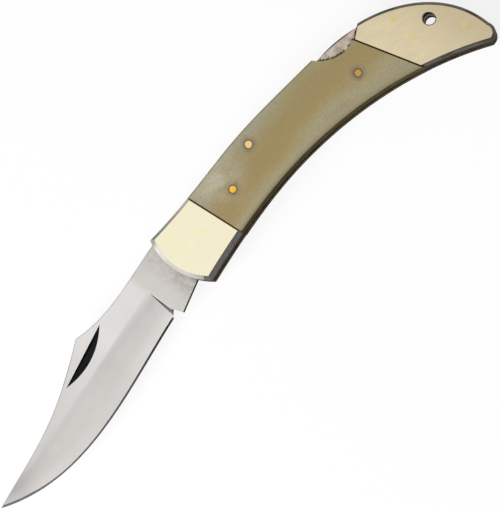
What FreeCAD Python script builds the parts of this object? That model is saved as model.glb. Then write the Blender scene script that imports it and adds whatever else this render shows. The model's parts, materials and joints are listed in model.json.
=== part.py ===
import FreeCAD, Part
import math
import os

# A lock-back folding knife, lying open on its right side.
# The origin is on the blade pivot's axis, in the plane of the right side.
# +X runs from the pivot to the butt, +Y to the back and the spine, +Z to the left side.

Vector = FreeCAD.Vector
Z_AXIS = Vector(0, 0, 1)

# Handle outline
handle_length = 120.0
handle_drop = 52.3
pivot_to_front = 12.0
pivot_to_back = 12.2
pivot_to_nose = 15.0

# Places along the handle's length and down its drop, from the front corner of the back
back_shares = (
    (0.0, 0.0), (0.224, 0.0445), (0.346, 0.0585), (0.584, 0.1375),
    (0.827, 0.292), (0.962, 0.573), (0.999, 0.912),
)
butt_shares = (0.988, 0.983)
lower_shares = ((0.963, 0.993), (0.843, 0.805), (0.327, 0.446), (0.213, 0.438), (0.012, 0.457))

# Layers from the right side to the left side
cover_thickness = 3.6
liner_thickness = 1.0
slot_width = 3.4
blade_thickness = 3.2

# Seams between the bolsters and the scales, and their lean in degrees
front_seam_at_pivot = 6.75
front_seam_lean = 3.7
rear_bolster_length = 29.3
rear_seam_lean = 13.8
slot_bevel = 1.5
rear_slot_bevel = 1.15
back_bevel = 0.9
scale_bevel = 0.5
seam_groove = 0.2

# Thumb notch over the lock bar
scoop_length = 13.5
scoop_depth = 4.05
scoop_floor_length = 4.5
scoop_lip_length = 4.8
scoop_bow_shares = (0.41, 0.655)

# Pins and rivets
pivot_pin_radius = 1.5
handle_pin_radius = 1.25
rivet_radius = 1.2
lanyard_radius = 2.0
pin_fit = 0.02
running_fit = 0.05
lock_pin_x = 31.7
lock_pin_y = 4.3
front_rivet_x = 17.1
front_rivet_y = -0.1
bolster_rivet_x = -4.8
bolster_rivet_y = 0.6
rear_rivet_shares = (0.689, 0.4435)
upper_spring_pin_shares = (0.8615, 0.4245)
lower_spring_pin_shares = (0.8535, 0.583)
butt_pin_setback = 2.0
butt_pin_rise = 7.7
lanyard_shares = (0.9165, 0.602)

# Blade outline: places along the reach from the pivot to the tip, and across the depth
blade_depth = 24.5
closed_tip_shares = (0.9705, 0.948)
spine_shares = ((0.118, 0.463), (0.308, 0.437), (0.47, 0.563))
clip_shares = ((0.586, 0.359), (0.714, 0.196), (0.86, 0.106), (1.0, 0.057))
belly_shares = ((0.795, -0.36), (0.537, -0.433), (0.252, -0.335))
choil_shares = (0.2325, -0.249)
kick_shares = (0.2207, -0.392)
spine_drop = 0.35
spine_ease = 0.25

# Blade grind, from the grind line near the middle of the side to the edge
plunge_share = 0.234
grind_line_share = 0.131
edge_thickness = 0.3
edge_bevel = 0.45
edge_land = 0.06
plunge_ramp_share = 0.9

# Stations of the grind along the reach, and the poles of its hollow: down the grind and into the steel
grind_station_shares = (plunge_share, 0.6, 0.85, 1.01)
hollow_shares = ((-0.08, -0.025), (0.25, 0.06), (0.6, 0.9), (1.1, 1.03))

# Nail nick, cut by a wheel with one flat side
nick_length = 23.3
nick_width = 2.9
nick_depth = 0.8
nick_shares = (0.4975, 0.347)
nick_lean = 8.4

# Tang and lock
tang_radius = 7.5
tang_flat = 6.2
tang_flat_angle = -99.0
notch_front = 2.2
notch_rear = 5.2
notch_front_y = 6.1
notch_rear_y = 4.4
lock_angle = 2.2
lug_lift = 0.15
lug_front_gap = 0.3
lug_rear_gap = 0.05
neck_y = 6.6
neck_length = 12.0
kick_gap = 0.1
kick_lead = 0.4
boss_wall = 2.0
arm_depth = 6.2
arm_station_shares = (0.3, 0.6, 1.0)
bar_end_gap = 1.2
thumb_rise = 0.6
thumb_start_share = 0.1
thumb_middle_share = 0.55

# Lock spring and butt spacer
spring_gap = 0.05
spring_reach = 22.0
spring_tip = 2.2
spring_root = 4.6
spring_toe = 1.4
spring_root_gap = 1.2
spring_side_gap = 0.1
spacer_seam_shares = (0.893, 0.8775)
spacer_seam_gap = 0.1
spacer_end_share = 0.883
blade_clearance = 0.8

# Nearness at which an edge counts as lying on a line of the plan
match_distance = 0.01

# Lengths worked out from the sizes above
overrun = cover_thickness
handle_bottom = pivot_to_back - handle_drop
handle_rear = handle_length - pivot_to_front
right_liner_z = cover_thickness
slot_z = right_liner_z + liner_thickness
left_liner_z = slot_z + slot_width
left_cover_z = left_liner_z + liner_thickness
handle_thickness = left_cover_z + cover_thickness
blade_z = slot_z + (slot_width - blade_thickness) / 2
blade_middle_z = blade_z + blade_thickness / 2
rear_seam_x = handle_rear - rear_bolster_length


def flat(x, y):
    """Point of the plan, in the plane of the right side."""
    return Vector(x, y, 0)


def handle_place(shares):
    """Point of the plan at shares of the handle's length and drop."""
    return flat(shares[0] * handle_length - pivot_to_front, pivot_to_back - shares[1] * handle_drop)


def blade_place(shares):
    """Point of the plan at shares of the blade's reach and depth."""
    return flat(-shares[0] * blade_reach, shares[1] * blade_depth)


def polar(radius, degrees):
    """Point of the plan at a radius and an angle about the pivot."""
    return flat(radius * math.cos(math.radians(degrees)), radius * math.sin(math.radians(degrees)))


def line(start, end):
    """Straight edge between two points."""
    return Part.LineSegment(start, end).toShape()


def arc(start, middle, end):
    """Round edge through three points."""
    return Part.Arc(start, middle, end).toShape()


def curve(points):
    """Smooth edge through a few points."""
    spline = Part.BSplineCurve()
    spline.interpolate(points)
    return spline.toShape()


def bow(poles):
    """Smooth edge that leans on its inner poles without passing through them."""
    bezier = Part.BezierCurve()
    bezier.setPoles(poles)
    return bezier.toShape()


def chain(points):
    """Straight edges through a list of points."""
    return [line(start, end) for start, end in zip(points, points[1:])]


def face_of(edges):
    """Plane face inside a closed run of edges."""
    return Part.Face(Part.Wire(edges))


def polygon(points):
    """Plane face with straight sides."""
    return face_of(chain(list(points) + [points[0]]))


def slab(face, bottom, thickness):
    """Solid of one thickness over a face of the plan."""
    raised = face.copy()
    raised.translate(Z_AXIS * bottom)
    return raised.extrude(Z_AXIS * thickness)


def rod(place, radius, bottom, length):
    """Round bar square to the plan."""
    return Part.makeCylinder(radius, length, Vector(place.x, place.y, bottom), Z_AXIS)


def turned(shape, place, degrees):
    """Copy of a shape turned in the plan about a place."""
    copy = shape.copy()
    copy.rotate(place, Z_AXIS, degrees)
    return copy


def drilled(shape, holes):
    """Shape with round holes right through it, each a place and a radius."""
    for place, radius in holes:
        shape = shape.cut(rod(place, radius, -overrun, handle_thickness + overrun * 2))
    return shape


# Handle outline as one closed run: nose, back, butt and the concave slot side
back_points = [handle_place(shares) for shares in back_shares]
lower_points = [handle_place(shares) for shares in lower_shares]
back_edge = curve(back_points)
lower_edge = curve(lower_points)
butt_edge = arc(back_points[-1], handle_place(butt_shares), lower_points[0])
nose_edge = arc(lower_points[-1], flat(-pivot_to_nose, 0), back_points[0])
handle_wire = Part.Wire([back_edge, butt_edge, lower_edge, nose_edge])
handle_face = Part.Face(handle_wire)


# The folded blade's tip lies inside the butt, which sets the blade's reach and the angle it folds through
closed_tip = handle_place(closed_tip_shares)
tip_rise = clip_shares[-1][1] * blade_depth
blade_reach = math.sqrt(closed_tip.Length ** 2 - tip_rise ** 2)
open_tip = blade_place(clip_shares[-1])
closed_angle = 180 + math.degrees(
    math.atan2(closed_tip.y, closed_tip.x) - math.atan2(-open_tip.y, -open_tip.x)
)


def back_at(x):
    """Height of the handle's back at a station along X."""
    station = line(flat(x, handle_bottom), flat(x, pivot_to_back + overrun))
    return back_edge.distToShape(station)[1][0][0].y


# Places of the pins
pivot = flat(0, 0)
lock_pin = flat(lock_pin_x, lock_pin_y)
front_rivet = flat(front_rivet_x, front_rivet_y)
bolster_rivet = flat(bolster_rivet_x, bolster_rivet_y)
rear_rivet = handle_place(rear_rivet_shares)
upper_spring_pin = handle_place(upper_spring_pin_shares)
lower_spring_pin = handle_place(lower_spring_pin_shares)
butt_pin = closed_tip + flat(-butt_pin_setback, butt_pin_rise)
lanyard = handle_place(lanyard_shares)

front_bolster_holes = [
    (pivot, pivot_pin_radius + pin_fit),
    (bolster_rivet, rivet_radius + pin_fit),
]
scale_holes = [
    (lock_pin, handle_pin_radius + pin_fit),
    (front_rivet, rivet_radius + pin_fit),
    (rear_rivet, rivet_radius + pin_fit),
]
spring_holes = [
    (upper_spring_pin, handle_pin_radius + pin_fit),
    (lower_spring_pin, handle_pin_radius + pin_fit),
]
spacer_holes = [
    (butt_pin, handle_pin_radius + pin_fit),
    (lanyard, lanyard_radius),
]
rear_bolster_holes = spring_holes + spacer_holes
liner_holes = front_bolster_holes + scale_holes + rear_bolster_holes

# Thumb notch: a round run-in, a short floor and a lip up the rear bolster
scoop_start_x = rear_seam_x - scoop_length
scoop_end_x = rear_seam_x + scoop_lip_length
scoop_floor_y = back_at(rear_seam_x) - scoop_depth
scoop_start = flat(scoop_start_x, back_at(scoop_start_x))
scoop_end = flat(scoop_end_x, back_at(scoop_end_x))
scoop_low = flat(rear_seam_x - scoop_floor_length, scoop_floor_y)
scoop_corner = flat(rear_seam_x, scoop_floor_y)
scoop_run = scoop_low - scoop_start
scoop_bow = scoop_start + Vector(scoop_run.x * scoop_bow_shares[0], scoop_run.y * scoop_bow_shares[1], 0)
scoop_face = face_of(
    [arc(scoop_start, scoop_bow, scoop_low)]
    + chain([
        scoop_low, scoop_corner, scoop_end,
        flat(scoop_end_x, pivot_to_back), flat(scoop_start_x, pivot_to_back), scoop_start,
    ])
)


def seam_x(seam_place, lean, y):
    """X of a leaning seam at a height y."""
    return seam_place.x - (y - seam_place.y) * math.tan(math.radians(lean))


front_seam = flat(front_seam_at_pivot, 0)
rear_seam = scoop_corner


def between(left_x_at, right_x_at):
    """Part of the handle's plan between two runs from top to bottom, each given as X at a height."""
    top = pivot_to_back + overrun
    bottom = handle_bottom - overrun
    region = polygon([
        flat(left_x_at(bottom), bottom), flat(right_x_at(bottom), bottom),
        flat(right_x_at(top), top), flat(left_x_at(top), top),
    ])
    return handle_face.common(region).cut(scoop_face).Faces[0]


def at_front_seam(y):
    """X of the seam behind the front bolster."""
    return seam_x(front_seam, front_seam_lean, y)


def at_rear_seam(y):
    """X of the seam ahead of the rear bolster."""
    return seam_x(rear_seam, rear_seam_lean, y)


def before_nose(y):
    """X clear ahead of the handle."""
    return -pivot_to_nose - overrun


def behind_butt(y):
    """X clear behind the handle."""
    return handle_rear + overrun


def edges_on(shape, guides, level):
    """Edges of a solid at one level whose middles lie on any of the guide edges of the plan."""
    found = []
    for edge in shape.Edges:
        middle = edge.valueAt((edge.FirstParameter + edge.LastParameter) / 2)
        spot = Part.Vertex(flat(middle.x, middle.y))
        on_guide = any(spot.distToShape(guide)[0] < match_distance for guide in guides)
        if on_guide and abs(middle.z - level) < match_distance:
            found.append(edge)
    return found


def seam_line(x_at):
    """Straight run of a seam across the handle."""
    top = pivot_to_back + overrun
    bottom = handle_bottom - overrun
    return line(flat(x_at(top), top), flat(x_at(bottom), bottom))


def bolster(face, holes, bottom, outer_level, wide_bevel):
    """Bolster of one side, bevelled widely along the slot and the nose and less along the back."""
    solid = slab(face, bottom, cover_thickness)
    solid = solid.makeChamfer(wide_bevel, edges_on(solid, [lower_edge, nose_edge], outer_level))
    solid = solid.makeChamfer(back_bevel, edges_on(solid, [back_edge, butt_edge], outer_level))
    return drilled(solid, holes)


def scale(face, holes, bottom, outer_level):
    """Scale of one side, bevelled along the slot and the back, with a fine groove at each seam."""
    solid = slab(face, bottom, cover_thickness)
    seams = [seam_line(at_front_seam), seam_line(at_rear_seam)]
    solid = solid.makeChamfer(seam_groove, edges_on(solid, seams, outer_level))
    solid = solid.makeChamfer(scale_bevel, edges_on(solid, [lower_edge, back_edge], outer_level))
    return drilled(solid, holes)


def handle_sides():
    """Bolsters, scales and liners of both sides, by node name."""
    front_face = between(before_nose, at_front_seam)
    scale_face = between(at_front_seam, at_rear_seam)
    rear_face = between(at_rear_seam, behind_butt)
    liner_face = handle_face.cut(scoop_face).Faces[0]
    sides = {
        "left": (left_cover_z, handle_thickness, left_liner_z),
        "right": (0, 0, right_liner_z),
    }
    nodes = {}
    for side, (bottom, outer_level, liner_bottom) in sides.items():
        front_bolster = bolster(front_face, front_bolster_holes, bottom, outer_level, slot_bevel)
        rear_bolster = bolster(rear_face, rear_bolster_holes, bottom, outer_level, rear_slot_bevel)
        nodes["front_bolster_" + side] = front_bolster
        nodes["scale_" + side] = scale(scale_face, scale_holes, bottom, outer_level)
        nodes["rear_bolster_" + side] = rear_bolster
        nodes["liner_" + side] = drilled(slab(liner_face, liner_bottom, liner_thickness), liner_holes)
    return nodes


def blade():
    """Clip-point blade with its tang, lock notch, kick, grind and nail nick."""
    spine_start = flat(notch_front, back_at(notch_front) - spine_drop)
    spine_points = [spine_start] + [blade_place(shares) for shares in spine_shares]
    clip_points = [spine_points[-1]] + [blade_place(shares) for shares in clip_shares]
    belly_points = [clip_points[-1]] + [blade_place(shares) for shares in belly_shares]
    choil = blade_place(choil_shares)
    kick = blade_place(kick_shares)
    flat_half_angle = math.degrees(math.acos(tang_flat / tang_radius))
    flat_rear = polar(tang_radius, tang_flat_angle + flat_half_angle)
    flat_front = polar(tang_radius, tang_flat_angle - flat_half_angle)
    tooth = flat(notch_rear, math.sqrt(tang_radius ** 2 - notch_rear ** 2))
    outline = face_of(
        [curve(spine_points), curve(clip_points), curve(belly_points)]
        + chain([belly_points[-1], choil, kick, flat_front, flat_rear])
        + [arc(flat_rear, polar(tang_radius, 0), tooth)]
        + chain([tooth, flat(notch_rear, notch_rear_y), flat(notch_front, notch_front_y), spine_start])
    )
    body = slab(outline, blade_z, blade_thickness)
    spine = curve(spine_points)
    spine_rims = edges_on(body, [spine], blade_z) + edges_on(body, [spine], blade_z + blade_thickness)
    body = body.makeChamfer(spine_ease, spine_rims)
    body = drilled(body, [(pivot, pivot_pin_radius + running_fit)])
    for side in (1, -1):
        body = body.cut(grind_cutter(belly_points, side))
        body = body.cut(edge_cutter(belly_points, side))
    return body.cut(nick_cutter())


def grind_cutter(belly_points, side):
    """Waste on one side of the blade, over a hollow face lofted from the plunge to the tip."""
    half = blade_thickness / 2
    taken = half - edge_thickness / 2
    lean = plunge_ramp_share * taken
    grind_line_y = grind_line_share * blade_depth
    belly = curve(belly_points)
    sections = []
    for share in grind_station_shares:
        x = -share * blade_reach
        station = line(flat(x - lean, -blade_depth), flat(x - lean, blade_depth))
        span = grind_line_y - belly.distToShape(station)[1][0][0].y
        poles = []
        for down, depth in hollow_shares:
            level = blade_middle_z + side * (half - depth * taken)
            poles.append(Vector(x - lean * depth, grind_line_y - down * span, level))
        sections.append(Part.Wire(bow(poles)))
    hollow = Part.makeLoft(sections).Faces[0]
    rise = blade_thickness
    return hollow.extrude(Vector(rise * plunge_ramp_share, 0, side * rise))


def edge_cutter(belly_points, side):
    """Waste on one side of the sharpened edge, over a narrow ruled face along the belly."""
    land_half = edge_land / 2
    slope = (edge_thickness / 2 - land_half) / edge_bevel
    runs = []
    for shift in (edge_bevel * 2, -edge_bevel):
        level = blade_middle_z + side * (land_half + slope * shift)
        runs.append(curve([Vector(place.x, place.y + shift, level) for place in belly_points]))
    return Part.makeRuledSurface(*runs).extrude(Z_AXIS * (side * blade_thickness))


def nick_cutter():
    """Flat-sided wheel that leaves a half-moon nick on the left side of the blade."""
    wheel_radius = (nick_length ** 2 / 4 + nick_depth ** 2) / (nick_depth * 2)
    lean = math.radians(nick_lean)
    toward_edge = Vector(math.sin(lean), -math.cos(lean), 0)
    top = blade_z + blade_thickness
    centre = blade_place(nick_shares) + Z_AXIS * (top + wheel_radius - nick_depth)
    taper = nick_depth / nick_width
    width = nick_width * 2
    return Part.makeCone(wheel_radius, wheel_radius - taper * width, width, centre, toward_edge)


def bar_under(x):
    """Height of the lock bar's underside behind its pin, with the bar pressed."""
    sink = (x - lock_pin_x) * math.sin(math.radians(lock_angle / 2))
    return back_at(x) - arm_depth - sink


bar_rear_x = scoop_end_x - bar_end_gap


def lock_bar():
    """Rocking bar along the back, pressed, with its lug lifted clear of the tang."""
    lug_radius = tang_radius + lug_lift
    lug_front = notch_front + lug_front_gap
    lug_rear = notch_rear - lug_rear_gap
    lug_middle = (lug_front + lug_rear) / 2
    lug_points = [flat(x, math.sqrt(lug_radius ** 2 - x ** 2)) for x in (lug_front, lug_middle, lug_rear)]
    closed_kick = turned(Part.Vertex(blade_place(kick_shares)), pivot, closed_angle).Point
    dip = (lock_pin_x - closed_kick.x) * math.sin(math.radians(lock_angle))
    pad_y = closed_kick.y + kick_gap + dip
    pad_front = flat(closed_kick.x - kick_lead, pad_y)
    pad_rear = flat(lock_pin_x + boss_wall, pad_y)
    arm_length = bar_rear_x - pad_rear.x
    arm_xs = [pad_rear.x + share * arm_length for share in arm_station_shares]
    arm_points = [pad_rear] + [flat(x, bar_under(x)) for x in arm_xs]
    top = pivot_to_back + overrun
    region = face_of(
        [arc(*lug_points)]
        + chain([
            lug_points[-1], flat(lug_rear, neck_y), flat(lug_rear + neck_length, neck_y),
            pad_front, pad_rear,
        ])
        + [curve(arm_points)]
        + chain([arm_points[-1], flat(bar_rear_x, top), flat(lug_front, top), lug_points[0]])
    )
    pressed_handle = turned(handle_face, lock_pin, -lock_angle / 2)
    bar = slab(pressed_handle.common(region), blade_z, blade_thickness)
    boss = rod(lock_pin, handle_pin_radius + boss_wall, blade_z, blade_thickness)
    bar = bar.fuse([boss, thumb_pad()]).removeSplitter()
    return drilled(bar, [(lock_pin, handle_pin_radius + running_fit)])


def thumb_pad():
    """Low crown on the rear of the lock bar, inside the thumb notch."""
    start_x = scoop_start_x + thumb_start_share * scoop_length
    middle_x = scoop_start_x + thumb_middle_share * scoop_length
    crown = [
        flat(start_x, back_at(start_x)),
        flat(middle_x, back_at(middle_x) + thumb_rise),
        flat(bar_rear_x, back_at(bar_rear_x) + thumb_rise),
    ]
    root_rear = crown[2] - flat(0, arm_depth / 2)
    root_front = crown[0] - flat(0, arm_depth / 2)
    face = face_of([curve(crown)] + chain([crown[2], root_rear, root_front, crown[0]]))
    return slab(turned(face, lock_pin, -lock_angle / 2), blade_z, blade_thickness)


def closed_blade_guard():
    """Room that the folded blade's edge needs in the slot."""
    points = [blade_place(shares) for shares in clip_shares[-1:] + belly_shares]
    edge = curve(points)
    lift = polar(blade_clearance, -90)
    edge.translate(lift)
    ends = [edge.valueAt(edge.LastParameter), edge.valueAt(edge.FirstParameter)]
    far = flat(0, handle_drop)
    face = face_of([edge] + chain([ends[0], ends[0] + far, ends[1] + far, ends[1]]))
    return slab(turned(face, pivot, closed_angle), slot_z, slot_width)


def lock_spring():
    """Back spring: a pinned block with an arm that pushes up the rear of the lock bar."""
    block_front = scoop_end_x
    tip_x = block_front - spring_reach
    tip_y = bar_under(tip_x) - spring_gap
    root_y = bar_under(bar_rear_x) - spring_root_gap
    seam_top = handle_place((spacer_seam_shares[0], 0))
    seam_low = handle_place((spacer_seam_shares[1], 1))
    arm = polygon([
        flat(tip_x, tip_y), flat(tip_x - spring_toe, tip_y - spring_toe / 2),
        flat(tip_x - spring_toe, tip_y - spring_tip), flat(block_front, root_y - spring_root),
        flat(block_front + spring_root, root_y - spring_root), flat(block_front + spring_root, root_y),
        flat(block_front, root_y),
    ])
    block = polygon([
        flat(block_front, pivot_to_back), flat(block_front, root_y - spring_root),
        flat(lower_spring_pin.x, handle_bottom), seam_low, seam_top,
    ])
    root = slab(handle_face.common(block), slot_z, slot_width)
    leaf = slab(arm, slot_z + spring_side_gap, slot_width - spring_side_gap * 2)
    spring = root.fuse(leaf).removeSplitter().cut(closed_blade_guard())
    return drilled(spring, spring_holes)


def butt_spacer():
    """Filler between the liners at the butt, above the folded blade's tip."""
    seam_top = handle_place((spacer_seam_shares[0], 0)) + flat(spacer_seam_gap, 0)
    seam_low = handle_place((spacer_seam_shares[1], 1)) + flat(spacer_seam_gap, 0)
    end_y = pivot_to_back - spacer_end_share * handle_drop
    behind = handle_rear + overrun
    region = polygon([
        seam_top, seam_low, flat(behind, seam_low.y), flat(behind, pivot_to_back),
    ])
    above_tip = polygon([
        flat(seam_low.x - overrun, end_y), flat(behind, end_y),
        flat(behind, pivot_to_back), flat(seam_low.x - overrun, pivot_to_back),
    ])
    body = slab(handle_face.common(region).common(above_tip), slot_z, slot_width)
    return drilled(body.cut(closed_blade_guard()), spacer_holes)


def through_pin(place, radius):
    """Pin across the whole handle, ground flush on both sides."""
    return rod(place, radius, 0, handle_thickness)


def rivet_pair(name, place):
    """Short rivets of both sides at one place, ground flush."""
    length = cover_thickness + liner_thickness
    return {
        name + "_left": rod(place, rivet_radius, left_liner_z, length),
        name + "_right": rod(place, rivet_radius, 0, length),
    }


def all_nodes():
    """Every piece of the knife, by node name."""
    nodes = handle_sides()
    nodes["blade"] = blade()
    nodes["lock_bar"] = lock_bar()
    nodes["lock_spring"] = lock_spring()
    nodes["butt_spacer"] = butt_spacer()
    nodes["blade_pivot_pin"] = through_pin(pivot, pivot_pin_radius)
    nodes["lock_bar_pin"] = through_pin(lock_pin, handle_pin_radius)
    nodes["upper_spring_pin"] = through_pin(upper_spring_pin, handle_pin_radius)
    nodes["lower_spring_pin"] = through_pin(lower_spring_pin, handle_pin_radius)
    nodes["butt_pin"] = through_pin(butt_pin, handle_pin_radius)
    nodes.update(rivet_pair("front_scale_rivet", front_rivet))
    nodes.update(rivet_pair("rear_scale_rivet", rear_rivet))
    nodes.update(rivet_pair("bolster_rivet", bolster_rivet))
    return nodes


os.makedirs("parts", exist_ok=True)
for name, shape in all_nodes().items():
    solids = shape.Solids
    print(name, len(solids), "solid", shape.isValid(), round(shape.Volume, 2))
    shape.exportStep("parts/" + name + ".step")
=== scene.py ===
"""Looks of a lock-back folding knife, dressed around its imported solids.

The knife lies open on its right side. Its left side, with the nail nick, faces up (+Z).
The tip points to -X, the butt to +X, and the back of the handle to +Y.
"""

import json
import logging
import math
from collections.abc import Callable
from dataclasses import dataclass, field, replace
from enum import Enum

import bmesh
import bpy
from mathutils import Matrix, Vector


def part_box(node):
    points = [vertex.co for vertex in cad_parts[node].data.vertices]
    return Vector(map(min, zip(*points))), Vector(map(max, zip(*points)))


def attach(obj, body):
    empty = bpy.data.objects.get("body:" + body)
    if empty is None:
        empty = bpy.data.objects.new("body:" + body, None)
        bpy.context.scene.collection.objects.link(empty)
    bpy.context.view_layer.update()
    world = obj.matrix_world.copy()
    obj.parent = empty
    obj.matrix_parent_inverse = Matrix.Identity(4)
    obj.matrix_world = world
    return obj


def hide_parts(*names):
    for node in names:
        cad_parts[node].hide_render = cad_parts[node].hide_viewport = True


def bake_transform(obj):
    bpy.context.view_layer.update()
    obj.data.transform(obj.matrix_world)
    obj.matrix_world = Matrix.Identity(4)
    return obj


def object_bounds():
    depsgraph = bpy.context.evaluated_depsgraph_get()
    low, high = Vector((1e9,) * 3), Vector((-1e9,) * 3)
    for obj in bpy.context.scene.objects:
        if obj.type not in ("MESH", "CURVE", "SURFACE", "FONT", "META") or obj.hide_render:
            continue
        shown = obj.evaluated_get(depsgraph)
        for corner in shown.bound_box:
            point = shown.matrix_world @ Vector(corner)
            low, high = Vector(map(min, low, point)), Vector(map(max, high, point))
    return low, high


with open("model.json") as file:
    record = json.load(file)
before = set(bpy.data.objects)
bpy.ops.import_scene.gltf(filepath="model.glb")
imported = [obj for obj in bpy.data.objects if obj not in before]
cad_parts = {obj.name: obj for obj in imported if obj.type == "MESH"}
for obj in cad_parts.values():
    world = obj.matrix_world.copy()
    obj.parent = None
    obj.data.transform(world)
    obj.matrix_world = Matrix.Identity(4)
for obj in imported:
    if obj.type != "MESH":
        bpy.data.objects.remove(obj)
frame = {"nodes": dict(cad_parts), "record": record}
cad_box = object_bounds()

logging.basicConfig(level=logging.INFO, format="%(name)s: %(message)s")
log = logging.getLogger("knife")

MM = 0.001


class Side(Enum):
    """Sides of the handle, by the ending of their nodes' names."""

    LEFT = "left"
    RIGHT = "right"


class Body(Enum):
    """Bodies that pieces ride on."""

    HANDLE = "handle"
    BLADE = "blade"
    LOCK_BAR = "lock_bar"


class Blend(Enum):
    """Ways that one colour goes over another."""

    MIX = "MIX"
    MULTIPLY = "MULTIPLY"


class Sum(Enum):
    """Kinds of arithmetic, by their names in a node."""

    ADD = "ADD"
    SUBTRACT = "SUBTRACT"
    MULTIPLY = "MULTIPLY"
    DIVIDE = "DIVIDE"
    MAXIMUM = "MAXIMUM"
    ABSOLUTE = "ABSOLUTE"


class Zone(Enum):
    """Zones of a piece that have a finish of their own."""

    TOP = "top"
    SLOT = "slot"
    BACK = "back"
    NOSE = "nose"
    WALL = "wall"
    BORE = "bore"
    CUT = "cut"
    EDGE = "edge"
    PLUNGE = "plunge"
    CORNER = "corner"


class Axis(Enum):
    """Object axes, by the names of their sockets."""

    X = "X"
    Y = "Y"


Colour = tuple[float, float, float]
Point = tuple[float, float, float]
Socket = bpy.types.NodeSocket
Edges = list[bmesh.types.BMEdge]
FaceTest = Callable[[bmesh.types.BMFace], bool]
Finishes = dict[Zone, bpy.types.Material]


@dataclass(frozen=True)
class PlanLine:
    """Straight line in the plan of the knife, such as a seam, through a spot."""

    spot: Point
    lean_deg: float

    def across(self) -> Vector:
        """Gives the direction across the line."""
        lean = math.radians(self.lean_deg)
        return Vector((math.cos(lean), math.sin(lean), 0.0))

    def past(self, point: Vector) -> float:
        """Measures how far a point lies past the line, in the direction across it."""
        return (point - Vector(self.spot)).dot(self.across())


@dataclass(frozen=True)
class Step:
    """Smooth step from one result to another, while a value goes from low to high."""

    low: float
    high: float
    start: float = 0.0
    end: float = 1.0


@dataclass(frozen=True)
class Pattern:
    """Cloudy pattern in waves per metre, which can be squeezed along axes turned about Z."""

    scale: float
    detail: float = 2.0
    rough: float = 0.5
    turn_deg: float = 0.0
    squeeze: Point = (1.0, 1.0, 1.0)

    def turned(self, turn_deg: float) -> "Pattern":
        """Gives the same pattern at another turn."""
        return replace(self, turn_deg=turn_deg)


FRONT_SEAM = PlanLine((6.75 * MM, 0.0, 0.0), 3.7)
REAR_SEAM = PlanLine((78.7 * MM, -3.54 * MM, 0.0), 13.8)
NOTCH_LIP = PlanLine((78.7 * MM, -3.54 * MM, 0.0), -64.85)

# Fine lines along a rubbed face, and fine lines around an upright rim
RUBBED = Pattern(160.0, 3.0, 0.6, squeeze=(1.0, 12.0, 12.0))
AROUND = Pattern(160.0, 3.0, 0.6, squeeze=(1.0, 1.0, 12.0))

# Range that nearly all values of a cloudy pattern lie in
PATTERN_LOW = 0.3
PATTERN_HIGH = 0.7

# Angles between the normals of faces that meet square, and of those that meet at a bevel
SQUARE_DEG = (60.0, 120.0)
SLANTED_DEG = (25.0, 65.0)


def node_centre(node: str) -> Vector:
    """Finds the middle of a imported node's box, in metres."""
    low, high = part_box(node)
    return (low + high) / 2


def mount(name: str) -> dict:
    """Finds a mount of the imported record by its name."""
    return next(entry for entry in frame["record"]["mounts"] if entry["name"] == name)


def put_in_scene(name: str, data: bpy.types.ID) -> bpy.types.Object:
    """Adds an object to the scene.

    Args:
        name: The object's name.
        data: Its mesh, camera or lamp.

    Returns:
        The object.
    """
    thing = bpy.data.objects.new(name, data)
    bpy.context.scene.collection.objects.link(thing)
    return thing


class Outline:
    """Heights of the handle's back and slot side, read from a packed liner."""

    back_stations_mm = (-10.0, 6.0, 20.0, 35.0, 50.0, 64.0, 84.0, 95.0)
    slot_stations_mm = (-9.0, 6.0, 20.0, 35.0, 50.0, 65.0, 80.0, 95.0)

    def __init__(self, node: str = "liner_left") -> None:
        """Keeps the mesh of a liner's node."""
        self.mesh = frame["nodes"][node].data

    def heights(self, x: float) -> list[float]:
        """Finds the heights at which the liner's edges cross a station.

        Args:
            x: The station in metres.

        Returns:
            The heights in metres.
        """
        found = []
        for edge in self.mesh.edges:
            start, end = (self.mesh.vertices[index].co for index in edge.vertices)
            if (start.x - x) * (end.x - x) < 0.0:
                found.append(start.y + (end.y - start.y) * (x - start.x) / (end.x - start.x))
        return found

    def back(self) -> list[tuple[float, float]]:
        """Lists points along the back."""
        return [(x * MM, max(self.heights(x * MM))) for x in self.back_stations_mm]

    def slot(self) -> list[tuple[float, float]]:
        """Lists points along the slot side."""
        return [(x * MM, min(self.heights(x * MM))) for x in self.slot_stations_mm]


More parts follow.
